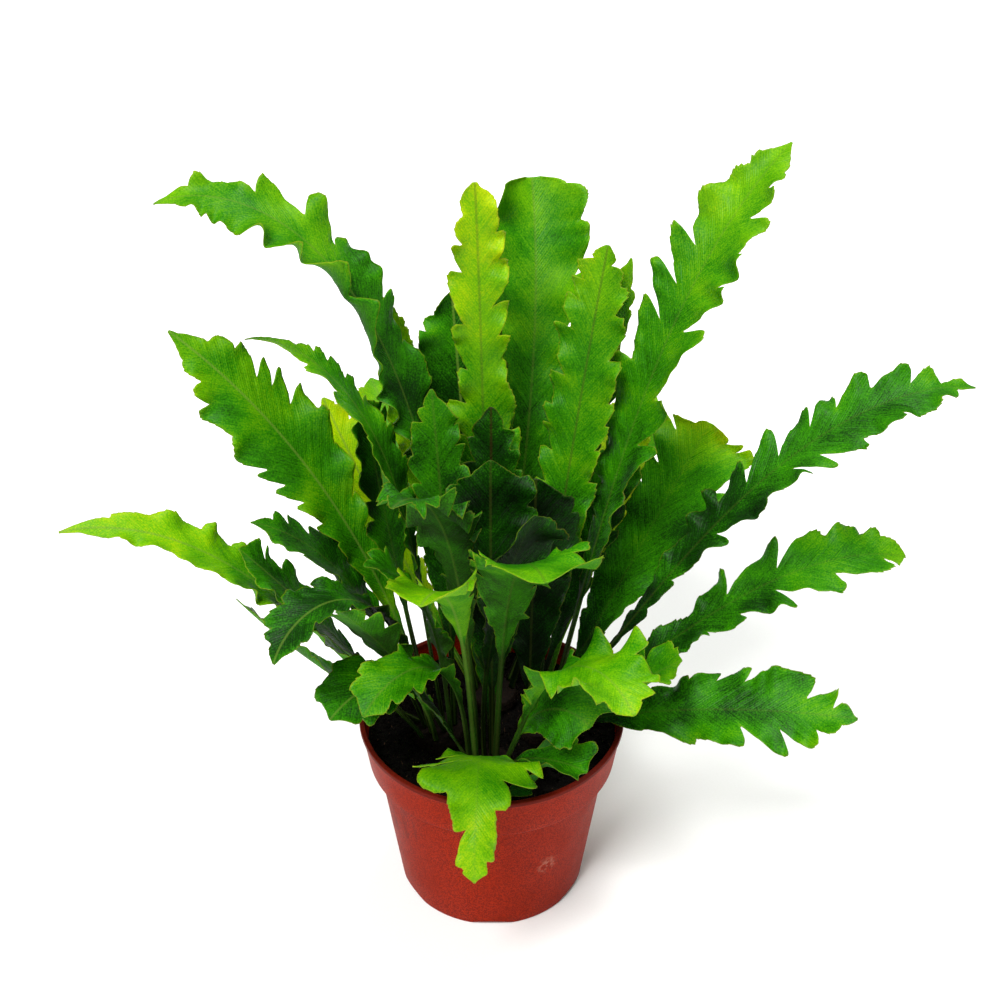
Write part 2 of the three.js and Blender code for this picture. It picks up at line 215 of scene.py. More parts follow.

# Foot, run and blade are those of the part: foot on the crown; run (turn, lean, droop, bend, sweep, length);
# blade (width, bare, widest, taper, roll, twist, cup), without the part's lobing, which lobes stands in for.
# Angles are in degrees, and cup is how far the margins rise, as a share of half the width.
# tone: 0 dark, 1 yellow-green, partly the frond's own green and partly painted shade, low on fronds deep in
# the clump;
# tip: how much paler by the tip, partly paler young growth and partly painted light on the tips; rib: -1 dark
# brown, 1 pale.
# lobes (step, depth as a share of the width); ruffle and teeth in millimetres.
# shares (place, factor on the width there); sides: factors on the lobes' depth, right and left, seen going
# outwards; curls (side, place, spread, degrees), side 1 being the left. Places go from 0 to 1 along a leaf.
fronds = {
    "left": [
        dict(foot=(-3, 5), run=(165, 14, 40, 1.5, 2, 225), blade=(44, .2, .62, 2.2, -30, 0, .15),
             tone=.36, tip=.2, rib=.5, lobes=(14, .34), ruffle=2.5,
             shares=((0, .7), (.35, .8), (.6, 1), (.85, .8), (1, .5))),
        dict(foot=(2, 4), run=(169, 7, 107, 4.5, -14, 229), blade=(29, .25, .5, 2.4, 5, 10, .2),
             tone=.14, tip=.4, rib=.3, lobes=(14, .5), ruffle=1.8, teeth=1.3,
             shares=((0, 1), (.4, 1), (.7, .95), (1, 1))),
        dict(foot=(-9, -3), run=(192, 33, 65, 3.5, 0, 208), blade=(26, .15, .5, 2.2, 10, -50, .2),
             tone=.42, tip=.3, rib=.4, lobes=(24, .3), ruffle=2),
        dict(foot=(-9, 4), run=(186, 55, -20, 1, 0, 110), blade=(22, .2, .5, 2.2, 20, 0, .2),
             tone=.35, tip=.1, rib=.5, lobes=(13, .25), ruffle=1),
        dict(foot=(-6, 0), run=(173, 18, 60, 3, 8, 140), blade=(26, .3, .55, 2.2, 0, 0, .2),
             tone=.16, tip=.25, rib=.2, lobes=(13, .4), ruffle=2.2, shares=((0, 1.15), (1, 1.2))),
        dict(foot=(-3, -4), run=(214, 12, 140, 3, 20, 160), blade=(30, .3, .6, 2, 0, 0, .2),
             tone=.1, tip=.2, rib=.4, lobes=(13, .5), ruffle=1.6, shares=((0, .9), (1, .9))),
        dict(foot=(-7, -7), run=(194, 28, 10, 1.5, 0, 142), blade=(32, .3, .65, 2, -10, 0, .3),
             tone=.18, tip=.18, rib=.3, lobes=(14, .5), ruffle=1.4, shares=((0, .85), (1, .85))),
        dict(foot=(-1, -9), run=(228, 12, 108, 1.8, 0, 98), blade=(34, .2, .6, 2, 0, 0, .2),
             tone=.26, tip=.15, rib=.4, lobes=(20, .2), ruffle=2, teeth=.5),
        dict(foot=(7, 1), run=(108, 3, 12, 1, 0, 168), blade=(26, .25, .6, 2, 0, 0, .2),
             tone=.22, tip=.15, rib=.2, lobes=(12, .35), ruffle=2),
        dict(foot=(6, -7), run=(214, 5, 60, 3, 0, 128), blade=(30, .25, .6, 1.9, 0, 0, .2),
             tone=.15, tip=.2, rib=.1, lobes=(12, .35), ruffle=2.5),
        dict(foot=(-4, 8.5), run=(150, 12, -3, 1.2, 0, 164), blade=(40, .35, .65, 2, -2, 0, .2),
             tone=.16, tip=.25, rib=.2, lobes=(16, .6), ruffle=1.6, teeth=1.1, shares=((0, .9), (1, .9))),
        dict(foot=(2.5, -2.5), run=(223, 21, 17, 1.1, 2, 116), blade=(38, .3, .6, 2, 23, 0, .25),
             tone=.2, tip=.15, rib=.2, lobes=(14, .45), ruffle=1.4, shares=((0, .85), (1, .85))),
    ],
    "back": [
        dict(foot=(-7, 0), run=(150, 11, 106, 4, 26, 306), blade=(42, .3, .55, 2.2, -10, 0, .2),
             tone=.16, tip=.42, rib=.3, lobes=(22, .5), ruffle=4, sides=(1, .15),
             curls=((1, .7, .09, 110),)),
        dict(foot=(-9, 3), run=(137, 42, -4, 1, -4, 150), blade=(32, .2, .6, 2, -15, 0, .2),
             tone=.7, tip=.2, rib=.5, lobes=(11, .35), ruffle=2, teeth=1.4),
        dict(foot=(2, 2), run=(68, 19, 18, 1, 30, 236), blade=(50, .15, .72, 1.8, 0, 0, .25),
             tone=.2, tip=.38, rib=.3, lobes=(21, .35), ruffle=3, curls=((1, .97, .06, 60),),
             shares=((0, 1), (.8, 1), (.93, 1.3), (1, 1.7))),
        dict(foot=(-2, -5), run=(93, 5, 13, 1, 5, 245), blade=(28, .12, .6, 1.8, 0, 0, .15),
             tone=.2, tip=.66, rib=-.35, lobes=(19, .5), ruffle=3, teeth=1.1,
             shares=((0, .8), (.3, 1.1), (.47, 1.35), (.57, .7), (.7, .95), (.93, 1.3), (1, 2.2))),
        dict(foot=(9, 1), run=(44, 22, -6, 1.5, 0, 212), blade=(26, .25, .6, 2.2, 0, 0, .2),
             tone=.2, tip=.3, rib=0, lobes=(13, .35), ruffle=2),
        dict(foot=(-3, 2), run=(108, 14, 12, 2, -8, 188), blade=(46, .15, .62, 1.8, 0, 0, .25),
             tone=.07, tip=.25, rib=.5, lobes=(17, .38), ruffle=3.5),
        dict(foot=(-5, 5), run=(130, 24, -6, 1, 0, 190), blade=(22, .3, .6, 2, 0, 0, .2),
             tone=.45, tip=.3, rib=.3, lobes=(12, .25), ruffle=1.5),
        dict(foot=(0, 9), run=(98, 34, 10, 1, 0, 150), blade=(34, .2, .6, 2, 0, 0, .2),
             tone=.15, tip=.2, rib=.2, lobes=(13, .35), ruffle=1, shares=((0, .8), (1, .8))),
        dict(foot=(4, 8), run=(76, 36, 14, 1, 8, 165), blade=(34, .2, .6, 2, 0, 0, .2),
             tone=.15, tip=.25, rib=.2, lobes=(14, .35), ruffle=1.2, shares=((0, .85), (1, .85))),
        dict(foot=(0, -9), run=(90, 1, 7, 1, 0, 155), blade=(28, .1, .6, 1.6, 0, 0, .2),
             tone=.05, tip=.15, rib=-.6, lobes=(13, .35), ruffle=2),
        dict(foot=(-4.5, 8.5), run=(112, 48, 30, 1, 0, 170), blade=(36, .2, .6, 2, 0, 0, .2),
             tone=.25, tip=.35, rib=.3, lobes=(14, .35), ruffle=2.5),
        dict(foot=(8, 6), run=(60, 50, 25, 1, 0, 165), blade=(36, .2, .6, 2, 0, 0, .2),
             tone=.25, tip=.35, rib=.3, lobes=(14, .35), ruffle=2.5),
    ],
    "right": [
        dict(foot=(9, -4), run=(345, 57, 28, .6, -2, 136), blade=(40, .12, .55, 1.9, 30, 0, .1),
             tone=.24, tip=.2, rib=-.15, lobes=(18, .5), ruffle=3.5),
        dict(foot=(9.5, 1), run=(8, 49, 66, 2.8, 8, 180), blade=(40, .15, .6, 2, 10, 0, .1),
             tone=.14, tip=.46, rib=-.15, lobes=(20, .75), ruffle=3, teeth=1.2),
        dict(foot=(7, 6), run=(19, 37, 71, 2.8, 0, 253), blade=(36, .15, .6, 2.2, 10, 0, .15),
             tone=.07, tip=.4, rib=-.15, lobes=(18, .75), ruffle=3, teeth=1.2),
        dict(foot=(3, 9), run=(47, 46, 0, 1, 0, 150), blade=(60, .15, .66, 1.7, 0, 0, .2),
             tone=.1, tip=.6, rib=.1, lobes=(20, .45), ruffle=2.6, teeth=1.2),
        dict(foot=(-2, 9), run=(64, 42, 0, 1, 0, 150), blade=(36, .2, .66, 1.8, 0, 0, .2),
             tone=.6, tip=.2, rib=.2, lobes=(14, .3), ruffle=.6, shares=((0, .75), (1, .75))),
        dict(foot=(2, 3), run=(38, 16, 44, 3, 0, 287), blade=(44, .2, .6, 2.2, 0, 0, .2),
             tone=.14, tip=.5, rib=.2, lobes=(22, .62), ruffle=3, teeth=1.2),
        dict(foot=(-4, 4), run=(62, 11, 12, 1, 2, 222), blade=(34, .15, .6, 1.9, 0, 0, .1),
             tone=.26, tip=.3, rib=-.4, lobes=(14, .45), ruffle=2.5, teeth=1.4,
             shares=((0, .9), (.7, .95), (.9, 1.2), (1, 1.8))),
        dict(foot=(-7, -2), run=(76, 2, 8, 1, 8, 128), blade=(38, .15, .62, 1.8, 0, 0, .2),
             tone=.02, tip=.12, rib=-.3, lobes=(15, .25), ruffle=2.5),
        dict(foot=(-5, 8), run=(52, 28, 8, 1, 0, 140), blade=(28, .2, .6, 2, 0, 0, .2),
             tone=.12, tip=.2, rib=0, lobes=(13, .35), ruffle=2),
        dict(foot=(5.5, -7.5), run=(350, 43, 9, 1, 0, 74), blade=(32, .25, .6, 1.9, 3, 0, .3),
             tone=.35, tip=.25, rib=.2, lobes=(12, .4), ruffle=3, teeth=1),
    ],
    "front": [
        dict(foot=(-8, 3), run=(230, 6, 130, 2.2, 0, 118), blade=(26, .3, .6, 2, 0, 0, .2),
             tone=.25, tip=.2, rib=.3, lobes=(12, .3), ruffle=2),
        dict(foot=(-5, 0), run=(258, 12, 62, 2.5, 0, 190), blade=(34, .45, .7, 2, 0, 0, .4),
             tone=.5, tip=.1, rib=.5, lobes=(16, .35), ruffle=2.2, teeth=.8),
        dict(foot=(-4, 8), run=(247, 8, 66, 3, 5, 222), blade=(32, .3, .6, 2, 0, 0, .2),
             tone=.08, tip=.3, rib=.3, lobes=(13, .5), ruffle=5, teeth=1.6),
        dict(foot=(-2, -7), run=(268, 25, 145, 1.4, 0, 104), blade=(40, .1, .3, 2.2, 0, 0, 0),
             tone=.52, tip=.12, rib=.1, lobes=(19, .75), ruffle=2.5, teeth=.6,
             shares=((0, 1.5), (.25, 1.5), (.42, 1), (.66, .8), (.8, 1.3), (.9, 2.8), (.95, 6), (1, 9))),
        dict(foot=(4, 1), run=(284, 8, 75, 3, 0, 190), blade=(52, .35, .75, 1.8, 0, 0, .2),
             tone=.16, tip=.34, rib=-.3, lobes=(12, .45), ruffle=4, teeth=1.6),
        dict(foot=(8, -3), run=(315, 19, 98, 2.8, -20, 146), blade=(42, .25, .6, 1.9, 0, 0, .3),
             tone=.3, tip=.42, rib=.3, lobes=(17, .35), ruffle=5, teeth=.6),
        dict(foot=(5, -7), run=(328, 35, 60, 1, 0, 52), blade=(24, .25, .6, 1.8, 0, 0, .4),
             tone=.2, tip=.1, rib=.2, lobes=(14, .2), ruffle=2, teeth=.5),
        dict(foot=(2, 8), run=(120, 2, 15, 1, 0, 128), blade=(22, .15, .6, 1.8, 0, 0, .2),
             tone=.15, tip=.2, rib=-.4, lobes=(12, .3), ruffle=2),
        dict(foot=(-1, 1.5), run=(150, 3, -25, 1, 0, 146), blade=(37, .35, .65, 2, -22, 0, .2),
             tone=.05, tip=.12, rib=.1, lobes=(13, .4), ruffle=3),
        dict(foot=(2.5, 3.5), run=(96, 1, 12, 1, -8, 149), blade=(44, .25, .6, 2, 11, 0, .2),
             tone=.04, tip=.12, rib=-.3, lobes=(15, .35), ruffle=3),
        dict(foot=(-5.5, -6.5), run=(214, 22, 11, 1.5, 0, 79), blade=(33, .3, .6, 1.9, -13, 0, .2),
             tone=.1, tip=.1, rib=.1, lobes=(12, .35), ruffle=.8, shares=((0, .8), (1, .8))),
        dict(foot=(9.5, 2), run=(329, 19, 109, 2.6, -6, 67), blade=(35, .25, .6, 1.9, 37, 0, .3),
             tone=.3, tip=.1, rib=.2, lobes=(13, .25), ruffle=2.5),
    ],
}

# seedlings of another plant: small, oval, smooth-edged leaves
seedlings = [
    dict(angle=294.3, inset=22.2, run=(22, 42, 30, 1, 0, 20), blade=(15, .25, .55, 1.6, 0, 0, .2)),
    dict(angle=275.3, inset=13, run=(345, 45, 30, 1, 0, 18), blade=(13, .25, .55, 1.6, 0, 0, .2)),
]


def midribOf(foot, run):
    # points along a midrib: each step goes (sin lean cos turn, sin lean sin turn, cos lean), where
    # lean = lean + droop * t^bend and turn = turn + sweep * t^1.5, for t from 0 at the foot to 1 at the tip
    turn, lean, droop, bend, sweep, length = run
    steps = frondShape["midribSteps"]
    t = np.linspace(0, 1, steps + 1)
    leans = np.radians(lean + droop * t ** bend)
    turns = np.radians(turn + sweep * t ** frondShape["sweepBend"])
    heading = np.stack([np.sin(leans) * np.cos(turns), np.sin(leans) * np.sin(turns), np.cos(leans)], 1)
    stride = heading[1:] + heading[:-1]
    stride *= length / steps / np.linalg.norm(stride, axis=1, keepdims=True)
    points = np.concatenate([np.zeros((1, 3)), np.cumsum(stride, 0)]) + foot
    return t, points, turns, leans


def leafPoints(foot, run, blade, look, seed):
    # A leaf surface as a function of t along the midrib and v across it, -1 to 1:
    # point = midrib(t + lean * |w| / length) + side * full * sin(c q) / c
    #         + normal * full * (1 - cos(c q)) / c + waves,
    # where w = v * half(t) is the distance from the midrib, half is the lobed and toothed half width,
    # full the half width without its notches, q = w / full, and c the angle that the margin turns up by.
    width, bare, widest, taper, roll, twist, cup = blade
    length = run[5]
    shape = frondShape
    midT, midPoints, turns, leans = midribOf(foot, run)
    rows = int(length / shape["rowStep"])
    columns = shape["columns"]
    t = np.linspace(0, 1, rows + 1)[:, None]
    across = np.linspace(-1, 1, 2 * columns + 1)[None, :]
    v = np.sign(across) * np.abs(across) ** shape["columnCrowding"]
    hand = np.where(across >= 0, 1.0, -1.0)
    distance = t * length

    place = np.clip((t - bare) / (1 - bare), 0, 0.999)
    outline = (width / 2) * (place / widest) ** (taper * widest)
    outline = outline * ((1 - place) / (1 - widest)) ** (taper * (1 - widest))
    if "shares" in look:
        outline = outline * np.interp(place, *zip(*look["shares"]))
    stalk = (shape["stalkWidth"] / 2) * (1 - shape["stalkThinning"] * t)

    step, depth = look["lobes"]
    half = np.zeros((rows + 1, 2 * columns + 1))
    for number, sign in enumerate((-1, 1)):
        key = seed * 10 + number
        phase = distance / step + 0.5 * number + wander(distance, shape["lobeStray"], key, step)
        phase = phase + wander(distance, shape["lobeJitter"], key + 11, step)
        share = phase - np.floor(phase)
        lobe = (1 - (1 - share) ** shape["lobeRise"]) * (1 - share ** shape["lobeFall"])
        uneven = shape["depthMiddle"] + wander(distance, shape["depthStray"], key + 3, step)
        deep = np.clip(depth * look.get("sides", (1, 1))[number] * uneven, *shape["depthLimits"])
        tooth = (distance / shape["toothStep"] + wander(distance, shape["toothStray"], key + 5)) % 1
        bite = shape["biteMiddle"] + wander(distance, shape["biteStray"], key + 7)
        teeth = look.get("teeth", 0.8) * bite * (tooth ** 1.5 - 0.4) * fadeIn(outline, 9)
        swell = 1 + wander(distance, shape["lobeSwell"], key + 9, step)
        sideHalf = stalk + outline * swell * (1 - deep * (1 - lobe)) + teeth
        half = np.where(hand == sign, np.maximum(sideHalf, shape["leastHalf"]), half)

    w = v * half
    full = stalk + outline
    q = np.clip(w / full, -1.15, 1.15)
    pointing = fadeIn(outline, 6) * np.clip(6 * (1 - place), 0, 1)  # not at the stalk, nor at the very tip
    along = t + shape["lean"] * np.abs(w) * pointing / length
    curl = 2 * cup + 0 * q
    for side, middle, spread, degrees in look.get("curls", ()):
        curl = curl + np.where(hand == side, math.radians(degrees) * bell(along, middle, spread), 0)
    gone = along * length
    for number, sign in enumerate((-1, 1)):  # each margin turns up and down along its way
        turned = wander(gone, shape["marginTurn"], seed * 10 + 60 + number)
        curl = curl + np.where(hand == sign, turned, 0)
    curl = np.where(np.abs(curl) < 0.02, 0.02, curl)
    outward = full * np.sin(curl * q) / curl
    upward = full * (1 - np.cos(curl * q)) / curl

    ruffle = shape["waveHeight"] * look["ruffle"] * fadeIn(outline, 12)
    smallStep = shape["smallWaveStep"] * shape["waveStep"]
    for number, sign in enumerate((-1, 1)):
        key = seed * 10 + 20 + number
        wave = gone / shape["waveStep"] + wander(gone, shape["waveStray"], key) + 0.37 * number
        small = gone / smallStep + wander(gone, shape["smallWaveStray"], key + 2)
        rise = np.sin(2 * np.pi * wave) * q ** 2
        rise = rise + shape["smallWaveHeight"] * np.sin(2 * np.pi * small) * np.abs(q) ** 3
        upward = upward + np.where(hand == sign, ruffle * rise, 0)
    veinPhase = (gone - shape["veinSlope"] * np.abs(w)) / shape["pleatStep"]
    pleat = shape["pleatHeight"] * np.sin(2 * np.pi * veinPhase)
    upward = upward + pleat * fadeIn(np.abs(w), 4) * fadeIn(outline, 6)

    at = np.clip(along, 0, 1)
    over = np.clip(along - 1, 0, 1)[..., None] * length
    middle = np.stack([np.interp(at, midT, midPoints[:, i]) for i in range(3)], -1)
    turn = np.interp(at, midT, turns)
    lean = np.interp(at, midT, leans)
    ease = np.clip(at / shape["rollShare"], 0, 1)
    tilt = np.radians(roll + twist * at * at) * ease * ease * (3 - 2 * ease)
    flat = -np.cos(lean)
    level = np.stack([-np.sin(turn), np.cos(turn), 0 * turn], -1)
    upper = np.stack([flat * np.cos(turn), flat * np.sin(turn), np.sin(lean)], -1)
    ahead = np.stack([np.sin(lean) * np.cos(turn), np.sin(lean) * np.sin(turn), np.cos(lean)], -1)
    side = level * np.cos(tilt)[..., None] + upper * np.sin(tilt)[..., None]
    normal = upper * np.cos(tilt)[..., None] - level * np.sin(tilt)[..., None]
    points = middle + ahead * over + side * outward[..., None] + normal * upward[..., None]
    ribbing = np.sqrt(np.clip(1 - (w / stalk) ** 2, 0, 1)) * stalk * 0.8
    edge = half * (1 - np.abs(v))
    return points, normal, ribbing, w, gone, edge, t + 0 * v, outline + 0 * v


def makeLeaf(name, node, foot, run, blade, look, seed, material):
    points, normal, ribbing, w, gone, edge, t, outline = leafPoints(foot, run, blade, look, seed)
    rows, columns = w.shape
    down = np.gradient(points, axis=0)
    out = np.gradient(points, axis=1)
    facing = np.cross(out, down)
    facing /= np.linalg.norm(facing, axis=-1, keepdims=True) + 1e-12
    facing *= np.where((facing * normal).sum(-1, keepdims=True) < 0, -1, 1)
    facing[0] = normal[0]
    skin = frondShape["leafThickness"] / 2 * np.clip(edge / 0.8, 0.45, 1)
    upper = points + facing * np.maximum(skin, 0.45 * ribbing)[..., None]
    lower = points - facing * np.maximum(skin, ribbing)[..., None]
    upper[0, :, 2] = foot[2]
    lower[0, :, 2] = foot[2]

    count = rows * columns
    top = np.arange(count).reshape(rows, columns)
    under = top + count
    faces = [
        stripFaces(0, rows, columns, flip=True),
        stripFaces(count, rows, columns),
        bridgeFaces(top[:, 0], under[:, 0])[:, ::-1],
        bridgeFaces(top[:, -1], under[:, -1]),
        bridgeFaces(top[0], under[0]),
        bridgeFaces(top[-1], under[-1])[:, ::-1],
    ]
    # painted light and shade: the tone is partly painted shade on fronds deep in the clump, and the paler tip
    # partly painted light
    tone = look["tone"] + look["tip"] * t ** frondTone["tipBend"]
    tone = tone + frondTone["edgePaler"] * np.exp(-edge / frondTone["edgeWidth"]) * fadeIn(outline, 8)
    tone = tone + wander(gone, frondTone["patches"], seed + 900)
    stalkShare = np.clip(1 - outline / 3, 0, 1) * (t < 0.5)  # bare stalks are darker, darkest by the soil
    # painted shade: the stalks darken towards their feet by the soil, among the crowded stalks
    footShadeShare = stalkShare * np.clip(1 - gone / frondTone["footLength"], 0, 1)
    tone = tone * (1 - frondTone["stalkDarker"] * stalkShare) - frondTone["footShade"] * footShadeShare
    rib = np.full(w.shape, look.get("rib", 0))
    place = np.stack([gone, w, edge], -1).reshape(-1, 3)
    marks = {
        "leafPlace": np.concatenate([place, place]),
        "leafTone": np.concatenate([
            np.stack([tone, rib, 0 * w], -1).reshape(-1, 3),
            np.stack([tone, rib, 0 * w + 1], -1).reshape(-1, 3),
        ]),
    }
    allPoints = np.concatenate([upper.reshape(-1, 3), lower.reshape(-1, 3)])
    return makePiece(name, allPoints, faces, material, (node,), marks=marks)


def leafMaterial(name, tones, glow):
    # Living fern leaf: a waxy skin with a satin gloss over green tissue that lets some light through,
    # with fine side veins running forward from the midrib and a thin yellow-brown margin.
    material, tree = newMaterial(name)
    place = addNode(tree, "Attribute", attribute_name="leafPlace")
    placeParts = addNode(tree, "SeparateXYZ", {0: place.outputs["Vector"]})
    tone = addNode(tree, "Attribute", attribute_name="leafTone")
    toneParts = addNode(tree, "SeparateXYZ", {0: tone.outputs["Vector"]})
    distance, width, edge = placeParts.outputs
    base, rib, under = toneParts.outputs
    sideways = addNode(tree, "Math", {0: width}, operation="ABSOLUTE")
    vein = addNode(tree, "Math", {0: sideways, 1: -frondShape["veinSlope"], 2: distance},
                   operation="MULTIPLY_ADD")

    streakWidth = addNode(tree, "Math", {0: width, 1: 0.12}, operation="MULTIPLY")
    streakPlace = addNode(tree, "CombineXYZ", {0: vein, 1: streakWidth})
    streak = addNode(tree, "TexNoise", {"Vector": streakPlace, "Scale": 0.7, "Detail": 3.0})
    spot = addNode(tree, "TexCoord")
    blotch = addNode(tree, "TexNoise", {"Vector": spot.outputs["Object"], "Scale": 60.0, "Detail": 2.0})
    grain = addNode(tree, "TexNoise", {"Vector": spot.outputs["Object"], "Scale": 1400.0, "Detail": 1.0})

    wave = addNode(tree, "Math", {0: vein, 1: 2 * math.pi / frondShape["veinStep"]}, operation="MULTIPLY")
    ripple = addNode(tree, "Math", {0: wave}, operation="SINE")

    mixed = base
    for noise, amount in ((streak, 0.22), (blotch, 0.55), (grain, 0.42)):
        centred = addNode(tree, "Math", {0: noise, 1: 0.5}, operation="SUBTRACT")
        mixed = addNode(tree, "Math", {0: centred, 1: amount, 2: mixed}, operation="MULTIPLY_ADD")
    mixed = addNode(tree, "Math", {0: ripple, 1: 0.014, 2: mixed}, operation="MULTIPLY_ADD")

    skin = addNode(tree, "ValToRGB", {0: mixed})
    stops = skin.color_ramp.elements
    for number, (position, hexColour) in enumerate(tones):
        stop = stops[number] if number < 2 else stops.new(position)
        stop.position = position
        stop.color = linear(hexColour)

    # the midrib: dark purple-brown on upright fronds, pale on the others
    ribPaleness = addNode(tree, "MapRange", {0: rib, 1: -0.6, 2: 0.6})
    ribColour = addNode(tree, "Mix", {0: ribPaleness, 6: "#3a2410", 7: "#7fa33c"}, data_type="RGBA")
    ribShare = addNode(tree, "MapRange", {0: sideways, 1: 0.75, 2: 0.3})
    ribStrength = addNode(tree, "Math", {0: rib}, operation="ABSOLUTE")
    ribAmount = addNode(tree, "Math", {0: ribShare, 1: ribStrength}, operation="MULTIPLY")
    # the margin: a line of half a millimetre, fainter on dark leaves
    marginShare = addNode(tree, "MapRange", {0: edge, 1: 0.55, 2: 0.12, 4: 0.4})
    bright = addNode(tree, "MapRange", {0: base, 1: 0.12, 2: 0.5, 3: 0.08, 4: 1.0})
    marginAmount = addNode(tree, "Math", {0: marginShare, 1: bright}, operation="MULTIPLY")
    # the underside is paler and duller
    underAmount = addNode(tree, "Math", {0: under, 1: 0.12}, operation="MULTIPLY")
    layers = ((ribAmount, ribColour.outputs[2]), (marginAmount, "#a99a2a"), (underAmount, "#5f8a2a"))
    for amount, colour in layers:
        skin = addNode(tree, "Mix", {0: amount, 6: skin, 7: colour}, data_type="RGBA").outputs[2]

    rough = addNode(tree, "MapRange", {0: streak, 1: 0.3, 2: 0.7, 3: 0.34, 4: 0.5})
    roughUnder = addNode(tree, "Math", {0: under, 1: 0.2, 2: rough}, operation="MULTIPLY_ADD")
    height = addNode(tree, "Math", {0: ripple, 1: 0.16, 2: streak}, operation="MULTIPLY_ADD")
    bump = addNode(tree, "Bump", {"Height": height, "Strength": 0.4, "Distance": 0.0005})

    body = addNode(tree, "BsdfPrincipled", {
        "Base Color": skin, "Roughness": roughUnder, "IOR": 1.42, "Specular IOR Level": 0.17,
        "Normal": bump})
    through = addNode(tree, "Mix", {0: 1.0, 6: skin, 7: glow}, data_type="RGBA", blend_type="MULTIPLY")
    light = addNode(tree, "BsdfTranslucent", {"Color": through.outputs[2], "Normal": bump})
    both = addNode(tree, "MixShader", {0: 0.3, 1: body, 2: light})
    addNode(tree, "OutputMaterial", {"Surface": both})
    return material


frondTones = ((0.0, "#051a01"), (1.0, "#c8dc04"), (0.2, "#124402"), (0.42, "#358a03"), (0.68, "#76b803"))
seedlingTones = ((0.0, "#10380c"), (1.0, "#5da32c"), (0.5, "#2a6f1c"))
frondLeaf = leafMaterial("fern leaf, living, satin skin", frondTones, "#fcff78")
seedlingLeaf = leafMaterial("seedling leaf, living, matt", seedlingTones, "#e6ff9a")

for clusterNumber, cluster in enumerate(clusters):
    middle = crownMiddles[cluster]
    for number, frond in enumerate(fronds[cluster], 1):
        foot = np.array([middle[0] + frond["foot"][0], middle[1] + frond["foot"][1], crownTop + fitGap])
        makeLeaf(f"{cluster}_frond_leaf_{number}", f"{cluster}_frond_{number}", foot, frond["run"],
                 frond["blade"], frond, 100 * clusterNumber + number, frondLeaf)
    print("fronds made:", cluster, len(fronds[cluster]))

seedlingLook = dict(tone=.45, tip=.1, rib=.2, lobes=(9, .04), ruffle=.4, teeth=.2)
collarInside = soilHigh[0] + fitGap  # inside of the pot at the soil's top
seedlingFeet = []
for number, leaf in enumerate(seedlings, 1):
    angle = math.radians(leaf["angle"])
    radius = collarInside - leaf["inset"]
    foot = np.array([radius * math.cos(angle), radius * math.sin(angle), soilTop + fitGap])
    seedlingFeet.append(foot)
    makeLeaf(f"seedling_blade_{number}", f"seedling_leaf_{number}", foot, leaf["run"], leaf["blade"],
             seedlingLook, 700 + number, seedlingLeaf)
print("seedlings made")

# the pot; heights and radii in millimetres
pot = {
    "wall": 1.5,
    "lipHeight": 2.5,
    "lipOverhang": 0.8,
    "lipRound": 0.55,
    "collarHeight": 22,
    "collarTaper": 3,
    "shoulderStep": 4,
    "shoulderDrop": 2,
    "footHeight": 2.4,
    "footWidth": 4,
    "baseRadius": 42.5,
    "padRadius": 12,
    "holeCount": 6,
    "holeRadius": 3.5,
    "holeCircle": 29,
    "notchWidth": 22,
    "sides": 180,
    "edgeStep": 5,  # longest edge down the wall
    "scuffPlace": (-0.044, -0.024, 0.056),  # this and the next in metres, as the patterns read them
    "smudgePlace": (0.026, -0.042, 0.037),
}


def rounded(corners, steps=5):
    # a profile of (radius, height, round) corners, each corner replaced by an arc that touches both its sides
    points = []
    for number, (radius, height, bend) in enumerate(corners):
        corner = np.array([radius, height], float)
        if bend == 0:
            points.append(corner)
            continue
        before = np.array(corners[number - 1][:2]) - corner
        after = np.array(corners[number + 1][:2]) - corner
        before /= np.linalg.norm(before)
        after /= np.linalg.norm(after)
        half = math.acos(np.clip(before @ after, -1, 1)) / 2
        middleWay = (before + after) / np.linalg.norm(before + after)
        centre = corner + middleWay * bend / math.sin(half)
        start = corner + before * bend / math.tan(half) - centre
        end = corner + after * bend / math.tan(half) - centre
        for share in np.linspace(0, 1, steps):
            mixed = start * (1 - share) + end * share
            points.append(centre + mixed * bend / np.linalg.norm(mixed))
    return np.array(points)


def closer(profile, step):
    # the same profile with points added, so that none lie further apart than the step
    points = [profile[:1]]
    for start, end in zip(profile[:-1], profile[1:]):
        count = max(1, math.ceil(np.linalg.norm(end - start) / step))
        points.append(start + (end - start) * np.linspace(0, 1, count + 1)[1:, None])
    return np.concatenate(points)


def revolve(profile, sides, middle=(0, 0)):
    # turns a profile that starts and ends on the axis: point = (r cos a, r sin a, z), one point at each pole
    angles = np.linspace(0, 2 * np.pi, sides, endpoint=False)
    ring = profile[1:-1]
    x = ring[:, :1] * np.cos(angles) + middle[0]
    y = ring[:, :1] * np.sin(angles) + middle[1]
    z = np.repeat(ring[:, 1:], sides, 1)
    poles = np.array([[*middle, profile[0][1]], [*middle, profile[-1][1]]])
    points = np.concatenate([np.stack([x, y, z], -1).reshape(-1, 3), poles])
    first = np.arange(len(ring) * sides).reshape(len(ring), sides)
    here, there = first, np.roll(first, -1, 1)
    quads = np.stack([here[:-1], there[:-1], there[1:], here[1:]], -1).reshape(-1, 4)
    foot = np.stack([np.full(sides, len(points) - 2), there[0], here[0]], 1)
    head = np.stack([np.full(sides, len(points) - 1), here[-1], there[-1]], 1)
    return points, [quads, np.concatenate([foot, head])]


